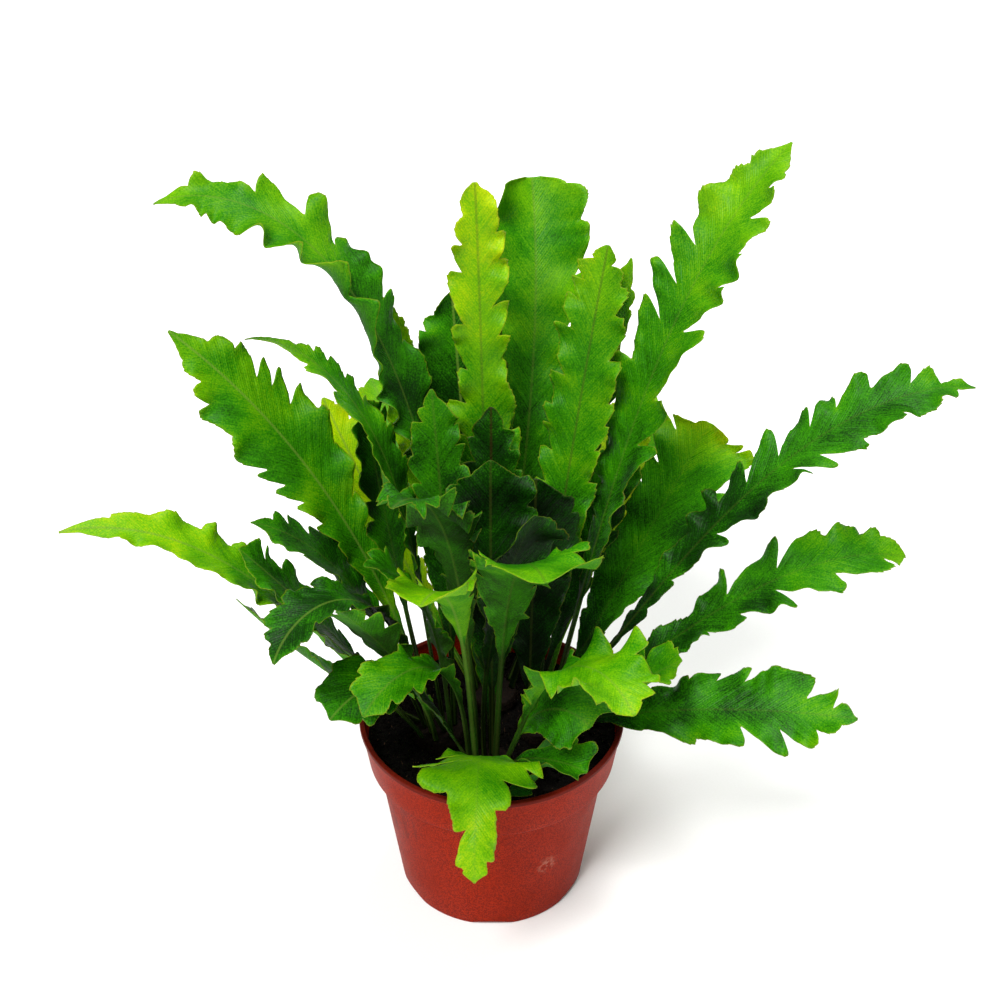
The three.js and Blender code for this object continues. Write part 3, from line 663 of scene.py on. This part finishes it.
def carve(piece, cutters):
    # takes the cutters out of a piece and removes them
    for cutter in cutters:
        cut = piece.modifiers.new("cut", "BOOLEAN")
        cut.object = cutter
        cut.operation = "DIFFERENCE"
        cut.solver = "EXACT"
    seen = piece.evaluated_get(bpy.context.evaluated_depsgraph_get())
    carved = bpy.data.meshes.new_from_object(seen)
    carved.set_sharp_from_angle(angle=math.radians(40))
    piece.modifiers.clear()
    piece.data = carved
    for cutter in cutters:
        bpy.data.objects.remove(cutter)


def makeCutter(points, faces):
    mesh = bpy.data.meshes.new("cutter")
    mesh.from_pydata((points * mm).tolist(), [], [face.tolist() for part in faces for face in part])
    cutter = bpy.data.objects.new("cutter", mesh)
    bpy.context.scene.collection.objects.link(cutter)
    return cutter


collarFoot = potHeight - pot["collarHeight"]
collarTopRadius = rimRadius - pot["lipOverhang"]
collarFootRadius = collarTopRadius - pot["collarTaper"]
bodyTop = collarFoot - pot["shoulderDrop"]
bodyTopRadius = collarFootRadius - pot["shoulderStep"]
wall = pot["wall"]
floorTop = pot["footHeight"] + wall
lipFoot = potHeight - pot["lipHeight"]
floorRadius = pot["baseRadius"] + (bodyTopRadius - pot["baseRadius"]) * floorTop / bodyTop - wall
slope = pot["padRadius"] + pot["footHeight"]
footInner = pot["baseRadius"] - pot["footWidth"]
turnInset = wall * math.tan(math.pi / 8)
potCorners = [
    (0, 0, 0),
    (pot["padRadius"], 0, 0.4),
    (slope, pot["footHeight"], 0.4),
    (footInner - 1, pot["footHeight"], 0),
    (footInner, 0, 0.3),
    (pot["baseRadius"], 0, 0.9),
    (bodyTopRadius, bodyTop, 1.2),
    (collarFootRadius, collarFoot, 1.2),
    (collarTopRadius, lipFoot, 0.2),
    (rimRadius, lipFoot + 0.3, 0.4),
    (rimRadius, potHeight, pot["lipRound"]),
    (collarTopRadius - wall, potHeight, 0.5),
    (collarFootRadius - wall, collarFoot, 0.8),
    (bodyTopRadius - wall, bodyTop, 0.8),
    (floorRadius, floorTop, 0.8),
    (slope - turnInset, floorTop, 0.4),
    (pot["padRadius"] - turnInset, wall, 0.4),
    (0, wall, 0),
]


def potMaterial():
    # Injection-moulded polypropylene, terracotta-coloured: a dull satin skin with fine moulded grain,
    # speckled pigment, a lip darkened with painted shade, a few dark scuffs and one pale smudge from
    # handling.
    material, tree = newMaterial("polypropylene, injection moulded, terracotta-coloured")
    spot = addNode(tree, "TexCoord").outputs["Object"]
    height = addNode(tree, "SeparateXYZ", {0: spot}).outputs[2]
    speckle = addNode(tree, "TexNoise", {"Vector": spot, "Scale": 1500.0, "Detail": 2.0})
    cloud = addNode(tree, "TexNoise", {"Vector": spot, "Scale": 45.0, "Detail": 3.0})
    long = addNode(tree, "Mapping", {0: spot, 3: (1.0, 1.0, 0.16)})
    scuff = addNode(tree, "TexNoise", {"Vector": long, "Scale": 170.0, "Detail": 4.0, "Roughness": 0.7})

    speckleShare = addNode(tree, "MapRange", {0: speckle, 1: 0.4, 2: 0.6})
    skin = addNode(tree, "Mix", {0: speckleShare, 6: "#681000", 7: "#a22503"}, data_type="RGBA").outputs[2]
    cloudShare = addNode(tree, "MapRange", {0: cloud, 1: 0.35, 2: 0.7, 4: 0.45})
    # the lip is darker: painted shade over the lip band, standing for the shadow that falls on the lip's
    # inside
    lipShadeShare = addNode(tree, "MapRange", {
        0: height, 1: (lipFoot - 0.6) * mm, 2: (lipFoot + 0.4) * mm, 4: 0.75})
    # scuffs run down the wall, all of them just under the shoulder on the left
    scuffPlace = addNode(tree, "VectorMath", {0: spot, 1: pot["scuffPlace"]}, operation="DISTANCE")
    scuffNear = addNode(tree, "MapRange", {0: scuffPlace.outputs["Value"], 1: 0.022, 2: 0.006})
    scuffShare = addNode(tree, "MapRange", {0: scuff, 1: 0.5, 2: 0.6})
    scuffAmount = addNode(tree, "Math", {0: scuffNear, 1: scuffShare}, operation="MULTIPLY")
    scuffDull = addNode(tree, "Math", {0: scuffAmount, 1: 0.7}, operation="MULTIPLY")
    # the smudge: dried lime, 10 mm across, on the right
    smudgePlace = addNode(tree, "VectorMath", {0: spot, 1: pot["smudgePlace"]}, operation="DISTANCE")
    smudgeNear = addNode(tree, "MapRange", {0: smudgePlace.outputs["Value"], 1: 0.007, 2: 0.001})
    smudgeBreak = addNode(tree, "TexNoise", {"Vector": spot, "Scale": 420.0, "Detail": 3.0})
    smudgeShare = addNode(tree, "MapRange", {0: smudgeBreak, 1: 0.45, 2: 0.62, 4: 0.5})
    smudge = addNode(tree, "Math", {0: smudgeNear, 1: smudgeShare}, operation="MULTIPLY")
    layers = ((cloudShare, "#821b03"), (lipShadeShare, "#4d120a"), (scuffDull, "#3b1310"), (smudge, "#c98f78"))
    for share, colour in layers:
        skin = addNode(tree, "Mix", {0: share, 6: skin, 7: colour}, data_type="RGBA").outputs[2]

    rough = addNode(tree, "MapRange", {0: cloud, 1: 0.3, 2: 0.7, 3: 0.42, 4: 0.55})
    grain = addNode(tree, "Bump", {"Height": speckle, "Strength": 0.2, "Distance": 0.00012})
    body = addNode(tree, "BsdfPrincipled", {
        "Base Color": skin, "Roughness": rough, "IOR": 1.49, "Specular IOR Level": 0.06,
        "Normal": grain})
    addNode(tree, "OutputMaterial", {"Surface": body})
    return material


def holeCutter(angle):
    # an upright rod through the floor
    radius, top = pot["holeRadius"], 3 * floorTop
    profile = np.array([(0, -1), (radius, -1), (radius, top), (0, top)])
    middle = (pot["holeCircle"] * math.cos(angle), pot["holeCircle"] * math.sin(angle))
    return makeCutter(*revolve(profile, 48, middle))


def notchCutter(angle):
    # an arch of height 4 s (1 - s) * footHeight, for s from 0 to 1 across it, drawn out through the foot ring
    width = pot["notchWidth"]
    s = np.linspace(0, 1, 17)
    arch = np.stack([(s - 0.5) * width, 4 * s * (1 - s) * pot["footHeight"]], 1)
    arch = np.concatenate([[[-width / 2, -1]], arch, [[width / 2, -1]]])
    rings = []
    for reach in (footInner - 3, pot["baseRadius"] + 4):
        x = reach * math.cos(angle) - arch[:, 0] * math.sin(angle)
        y = reach * math.sin(angle) + arch[:, 0] * math.cos(angle)
        rings.append(np.stack([x, y, arch[:, 1]], 1))
    near = np.arange(len(arch))
    far = near + len(arch)
    sides = np.stack([near, far, np.roll(far, -1), np.roll(near, -1)], 1)
    return makeCutter(np.concatenate(rings), [sides, near[None, :], far[None, ::-1]])


def makePot():
    points, faces = revolve(closer(rounded(potCorners), pot["edgeStep"]), pot["sides"])
    piece = makePiece("nursery_pot", points, faces, potMaterial(), ("pot",))
    cutters = []
    for number in range(pot["holeCount"]):
        angle = 2 * math.pi * (number + 0.5) / pot["holeCount"]
        cutters.append(holeCutter(angle))
        cutters.append(notchCutter(angle))
    carve(piece, cutters)
    print("pot made:", len(piece.data.polygons), "faces")


makePot()

# the crowns: scaly mounds of old stalk bases and roots
crown = {
    "depth": 10,  # below the soil's top
    "topRadius": 11,
    "footInset": 2,
    "sides": 72,
    "unevenness": 0.25,
    "scaleRows": ((0.2, 26), (1.1, 26), (2.0, 24)),  # height above the soil's top, scales in the row
    "scaleLength": 3.2,
    "scaleWidth": 1.9,
    "scaleThickness": 0.22,
    "scaleSink": 0.4,  # how deep a scale's foot sits in the mound
    "scaleStray": 0.35,  # to either side, as a share of the room for a scale
    "scaleSkew": 0.35,  # of the tip to either side, as a share of the length
    "tipRise": 0.55,  # share of the length
    "tipReach": 0.9,  # out from the foot
    "bodyRise": 0.25,
    "bodyReach": 0.75,
    "seed": 40,
}

# the compost: a peat surface with lumps, and loose crumbs on it
compost = {
    "rings": 90,
    "spokes": 240,
    "lump": 1.5,  # how far the surface rises and falls
    "wallFade": 4,  # width over which the lumps die out at the wall
    "lumpSeed": 11,
    "crumbs": 420,
    "crumbSizes": (0.8, 2.4),
    "crumbStretch": (0.55, 1.15),
    "crumbRise": 0.25,  # of its middle above the surface, as a share of its size
    "crumbInset": 2.5,  # from the wall
    "crownClearance": 1.2,
    "stalkClearance": 3,
    "crumbSeed": 5,
}


def lumps(x, y, seed):
    # smooth random heights: five sums of sines at random angles and lengths of 3 to 24 mm, about -1 to 1
    dice = np.random.default_rng(seed)
    height = 0 * x
    for wave in 24 * 0.62 ** np.arange(5):
        for _ in range(5):
            heading, shift = dice.uniform(0, 2 * np.pi, 2)
            along = x * np.cos(heading) + y * np.sin(heading)
            height += wave ** 0.5 * np.sin(along * 2 * np.pi / wave + shift)
    return height / 14


def soilTopAt(x, y):
    # lumps that fade out at the wall, and only sink, so the surface stays under its top height
    fade = fadeIn(collarInside - fitGap - np.hypot(x, y), compost["wallFade"])
    return soilTop - compost["lump"] * fade * (1 - lumps(x, y, compost["lumpSeed"])) * 0.7


def peatMaterial():
    # Peat compost, loose and damp: near-black brown crumbs with pale dry fibres and grit, quite matt.
    material, tree = newMaterial("peat compost, loose, damp")
    spot = addNode(tree, "TexCoord").outputs["Object"]
    crumb = addNode(tree, "TexVoronoi", {"Vector": spot, "Scale": 620.0})
    cloud = addNode(tree, "TexNoise", {"Vector": spot, "Scale": 160.0, "Detail": 4.0})
    fibrePlace = addNode(tree, "Mapping", {0: spot, 3: (1.0, 0.2, 1.0)})
    fibre = addNode(tree, "TexNoise", {"Vector": fibrePlace, "Scale": 1100.0, "Detail": 2.0})
    skin = addNode(tree, "Mix", {0: crumb.outputs["Color"], 6: "#040302", 7: "#0d0905"},
                   data_type="RGBA").outputs[2]
    cloudShare = addNode(tree, "MapRange", {0: cloud, 1: 0.45, 2: 0.7, 4: 0.5})
    fibreShare = addNode(tree, "MapRange", {0: fibre, 1: 0.66, 2: 0.74, 4: 0.6})
    for share, colour in ((cloudShare, "#070502"), (fibreShare, "#5a4330")):
        skin = addNode(tree, "Mix", {0: share, 6: skin, 7: colour}, data_type="RGBA").outputs[2]
    rise = addNode(tree, "Math", {0: crumb.outputs["Distance"], 1: -1.0, 2: cloud}, operation="MULTIPLY_ADD")
    bump = addNode(tree, "Bump", {"Height": rise, "Strength": 0.9, "Distance": 0.0018})
    body = addNode(tree, "BsdfPrincipled", {
        "Base Color": skin, "Roughness": 0.9, "Specular IOR Level": 0.08, "Normal": bump})
    addNode(tree, "OutputMaterial", {"Surface": body})
    return material


def crownMaterial():
    # Fern rootstock: dry brown scales over dark fibrous tissue, matt.
    material, tree = newMaterial("fern rootstock, dry brown scales")
    spot = addNode(tree, "TexCoord").outputs["Object"]
    longPlace = addNode(tree, "Mapping", {0: spot, 3: (1.0, 1.0, 0.25)})
    strand = addNode(tree, "TexNoise", {"Vector": longPlace, "Scale": 900.0, "Detail": 3.0})
    cloud = addNode(tree, "TexNoise", {"Vector": spot, "Scale": 220.0, "Detail": 2.0})
    strandShare = addNode(tree, "MapRange", {0: strand, 1: 0.35, 2: 0.7})
    skin = addNode(tree, "Mix", {0: strandShare, 6: "#090502", 7: "#1f1208"}, data_type="RGBA").outputs[2]
    cloudShare = addNode(tree, "MapRange", {0: cloud, 1: 0.4, 2: 0.75, 4: 0.5})
    skin = addNode(tree, "Mix", {0: cloudShare, 6: skin, 7: "#140d06"}, data_type="RGBA").outputs[2]
    bump = addNode(tree, "Bump", {"Height": strand, "Strength": 0.6, "Distance": 0.0005})
    body = addNode(tree, "BsdfPrincipled", {
        "Base Color": skin, "Roughness": 0.8, "Specular IOR Level": 0.12, "Normal": bump})
    addNode(tree, "OutputMaterial", {"Surface": body})
    return material


rootstock = crownMaterial()
crownFoot = soilTop - crown["depth"]


def crownRadiusAt(height):
    # the mound's side, from the soil's top to its own
    share = (height - soilTop) / (crownTop - soilTop)
    return crownRadius + (crown["topRadius"] - crownRadius) * share


def scaleRing(foot, outward, around, length, width, skew):
    # corners of a small pointed scale that leans out from its foot: two at the foot, two at the body, one tip
    up = np.array([0, 0, 1.0])
    tip = foot + up * length * crown["tipRise"] + outward * crown["tipReach"] + around * skew * length
    body = foot + up * length * crown["bodyRise"] + outward * crown["bodyReach"]
    body = body + around * skew * length * 0.3
    return [foot - around * width * 0.6, foot + around * width * 0.6, body + around * width,
            tip, body - around * width]


def makeCrown(cluster, seed):
    # a mound, slightly uneven, with rows of scales lying up its side
    middle = crownMiddles[cluster][:2]
    profile = rounded([
        (0, crownFoot, 0),
        (crownRadius - crown["footInset"], crownFoot, 0.8),
        (crownRadius, soilTop, 0.6),
        (crown["topRadius"], crownTop, 1.2),
        (crown["topRadius"] / 2, crownTop, 0),
        (0, crownTop, 0),
    ])
    points, faces = revolve(profile, crown["sides"], middle)
    offset = points[:, :2] - middle
    sink = crown["unevenness"] * (1 - lumps(points[:, 0] * 4, points[:, 1] * 4, seed))
    points[:, :2] = middle + offset * (1 - sink[:, None] / np.maximum(np.hypot(*offset.T), 6)[:, None])
    dice = np.random.default_rng(seed)
    stray = crown["scaleStray"]
    pointSets, faceSets = [points], [*faces]
    start = len(points)
    for rise, count in crown["scaleRows"]:
        angles = (np.arange(count) + dice.uniform(-stray, stray, count)) * 2 * np.pi / count
        for angle in angles:
            length = crown["scaleLength"] * dice.uniform(0.7, 1.1)
            width = crown["scaleWidth"] * dice.uniform(0.8, 1.2) / 2
            skew = dice.uniform(-crown["scaleSkew"], crown["scaleSkew"])
            outward = np.array([math.cos(angle), math.sin(angle), 0])
            around = np.array([-math.sin(angle), math.cos(angle), 0])
            height = soilTop + rise
            foot = np.array([*middle, 0]) + outward * (crownRadiusAt(height) - crown["scaleSink"])
            foot[2] = height
            ring = scaleRing(foot, outward, around, length, width, skew)
            outer = [corner + outward * crown["scaleThickness"] for corner in ring]
            pointSets.append(np.array(ring + outer))
            corner = start + np.arange(5)
            after = np.roll(corner, -1)
            faceSets.append(np.stack([corner, after, after + 5, corner + 5], 1))
            faceSets.append(corner[None, ::-1])
            faceSets.append(corner[None, :] + 5)
            start += 10
    makePiece(cluster + "_rootstock", np.concatenate(pointSets), faceSets, rootstock,
              (cluster + "_crown",))


def crownSocket(cluster):
    # cuts room for a crown, from under its foot to above the compost
    footRadius, radius = crownRadius - crown["footInset"] + fitGap, crownRadius + fitGap
    low, high = crownFoot - fitGap, soilTop + 3
    profile = np.array([(0, low), (footRadius, low), (radius, soilTop + 0.01), (radius, high), (0, high)])
    return makeCutter(*revolve(profile, crown["sides"], crownMiddles[cluster][:2]))


def makeCompost():
    # a polar grid over the top, (r cos a, r sin a, soilTopAt), then down the pot's inside and over its floor
    spokes = np.linspace(0, 2 * np.pi, compost["spokes"], endpoint=False)
    radii = np.linspace(0, 1, compost["rings"])[1:, None] * (collarInside - fitGap)
    x, y = radii * np.cos(spokes), radii * np.sin(spokes)
    topGrid = np.stack([x, y, soilTopAt(x, y)], -1)
    inset = wall + fitGap
    underWall = rounded([
        (0, floorTop + fitGap, 0),
        (floorRadius - fitGap, floorTop + fitGap, 0.8),
        (bodyTopRadius - inset, bodyTop + fitGap, 0.6),
        (collarFootRadius - inset, collarFoot + fitGap, 0.6),
        (collarInside - fitGap, soilTop, 0),
    ])[1:-1]
    wallRings = np.stack([underWall[:, :1] * np.cos(spokes), underWall[:, :1] * np.sin(spokes),
                          np.repeat(underWall[:, 1:], compost["spokes"], 1)], -1)
    grid = np.concatenate([wallRings, topGrid[::-1]])
    middleTop = float(soilTopAt(np.zeros(1), np.zeros(1))[0])
    poles = np.array([[0, 0, floorTop + fitGap], [0, 0, middleTop]])
    points = np.concatenate([grid.reshape(-1, 3), poles])
    place = np.arange(grid.shape[0] * grid.shape[1]).reshape(grid.shape[:2])
    after = np.roll(place, -1, 1)
    quads = np.stack([place[:-1], after[:-1], after[1:], place[1:]], -1).reshape(-1, 4)
    floorFan = np.stack([np.full(compost["spokes"], len(points) - 2), after[0], place[0]], 1)
    topFan = np.stack([np.full(compost["spokes"], len(points) - 1), place[-1], after[-1]], 1)
    faces = [quads, np.concatenate([floorFan, topFan])]
    piece = makePiece("compost", points, faces, peat, ("potting_soil",))
    carve(piece, [crownSocket(cluster) for cluster in clusters])
    print("compost made:", len(piece.data.polygons), "faces")


def makeCrumbs():
    # eight-cornered lumps, each one stretched and turned its own way, resting on the surface
    dice = np.random.default_rng(compost["crumbSeed"])
    cube = np.array([(i, j, k) for i in (-1, 1) for j in (-1, 1) for k in (-1, 1)]) * 0.58
    cubeFaces = np.array([(0, 1, 3, 2), (4, 6, 7, 5), (0, 4, 5, 1), (2, 3, 7, 6), (0, 2, 6, 4), (1, 5, 7, 3)])
    points, faces = [], []
    while len(points) < compost["crumbs"]:
        radius = (collarInside - compost["crumbInset"]) * math.sqrt(dice.uniform(0, 1))
        angle = dice.uniform(0, 2 * math.pi)
        spot = np.array([radius * math.cos(angle), radius * math.sin(angle)])
        size = dice.uniform(*compost["crumbSizes"]) * dice.uniform(0.6, 1)
        toCrown = min(np.linalg.norm(spot - middle[:2]) for middle in crownMiddles.values()) - crownRadius
        toStalk = min(np.linalg.norm(spot - foot[:2]) for foot in seedlingFeet)
        if toCrown <= compost["crownClearance"] + size or toStalk <= compost["stalkClearance"] + size:
            continue
        shape = cube * dice.uniform(*compost["crumbStretch"], (8, 3)) * size
        turn, tilt = dice.uniform(0, 2 * math.pi, 2)
        turnBy = np.array([[math.cos(turn), -math.sin(turn), 0],
                           [math.sin(turn), math.cos(turn), 0], [0, 0, 1]])
        tiltBy = np.array([[1, 0, 0], [0, math.cos(tilt), -math.sin(tilt)],
                           [0, math.sin(tilt), math.cos(tilt)]])
        height = float(soilTopAt(spot[:1], spot[1:])[0]) + compost["crumbRise"] * size
        faces.append(cubeFaces + 8 * len(points))
        points.append(shape @ tiltBy.T @ turnBy.T + [*spot, height])
    makePiece("compost_crumbs", np.concatenate(points), [np.concatenate(faces)], peat,
              (), smooth=False)
    print("crumbs made:", compost["crumbs"])


peat = peatMaterial()
makeCompost()
makeCrumbs()
for number, cluster in enumerate(clusters):
    makeCrown(cluster, crown["seed"] + number)
print("crowns made")

# the studio: a white floor in even light, with a key light from the front left and one from behind
studio = {
    "floorRadius": 6,  # this, the view's distance and its aim are in metres
    "worldStrength": 0.32,
    "keyPlace": (-0.7, -1.3, 2.2),
    "keySpread": 20,  # degrees that the light fills, seen from the plant
    "keyStrength": 3.3,
    "topPlace": (0.5, 0.6, 2.4),
    "topSpread": 26,
    "topStrength": 2.2,
    "sensorWidth": 36,
    "lens": 77.04,
    "viewDistance": 0.9,
    "viewHeight": 36,  # degrees above the floor
    "aim": (0.0038, 0, 0.2119),
}


def makeFloor():
    # Paper sweep, matt: near-white, with fibres just strong enough to break its evenness.
    material, tree = newMaterial("paper sweep, matt")
    spot = addNode(tree, "TexCoord").outputs["Object"]
    fibre = addNode(tree, "TexNoise", {"Vector": spot, "Scale": 900.0})
    paper = addNode(tree, "Mix", {0: fibre, 6: "#f6f6f4", 7: "#fbfbfa"}, data_type="RGBA")
    body = addNode(tree, "BsdfPrincipled", {"Base Color": paper.outputs[2], "Roughness": 0.8})
    addNode(tree, "OutputMaterial", {"Surface": body})
    bpy.ops.mesh.primitive_circle_add(
        vertices=96, radius=studio["floorRadius"], fill_type="NGON", location=(0, 0, 0))
    floor = bpy.context.object
    floor.name = "floor"
    floor.data.materials.append(material)


def makeWorld():
    world = bpy.data.worlds.new("studio")
    world.use_nodes = True
    background = world.node_tree.nodes["Background"]
    background.inputs["Color"].default_value = linear("#ffffff")
    background.inputs["Strength"].default_value = studio["worldStrength"]
    bpy.context.scene.world = world


def addLight(name, place, spread, strength):
    # a large soft light far off, shining from its place towards the plant
    light = bpy.data.lights.new(name, "SUN")
    light.angle = math.radians(spread)
    light.energy = strength
    lamp = bpy.data.objects.new(name, light)
    lamp.location = place
    lamp.rotation_euler = (-Vector(place)).to_track_quat("-Z", "Y").to_euler()
    bpy.context.scene.collection.objects.link(lamp)


def addCamera():
    camera = bpy.data.cameras.new("camera")
    camera.sensor_width = studio["sensorWidth"]
    camera.lens = studio["lens"]
    eye = bpy.data.objects.new("camera", camera)
    height = math.radians(studio["viewHeight"])
    aim = Vector(studio["aim"])
    eye.location = aim + studio["viewDistance"] * Vector((0, -math.cos(height), math.sin(height)))
    eye.rotation_euler = (aim - eye.location).to_track_quat("-Z", "Y").to_euler()
    bpy.context.scene.collection.objects.link(eye)
    bpy.context.scene.camera = eye


makeFloor()
makeWorld()
addLight("key light", studio["keyPlace"], studio["keySpread"], studio["keyStrength"])
addLight("top light", studio["topPlace"], studio["topSpread"], studio["topStrength"])
addCamera()
bpy.context.scene.view_settings.view_transform = "Standard"
print("floor, lights and camera set")
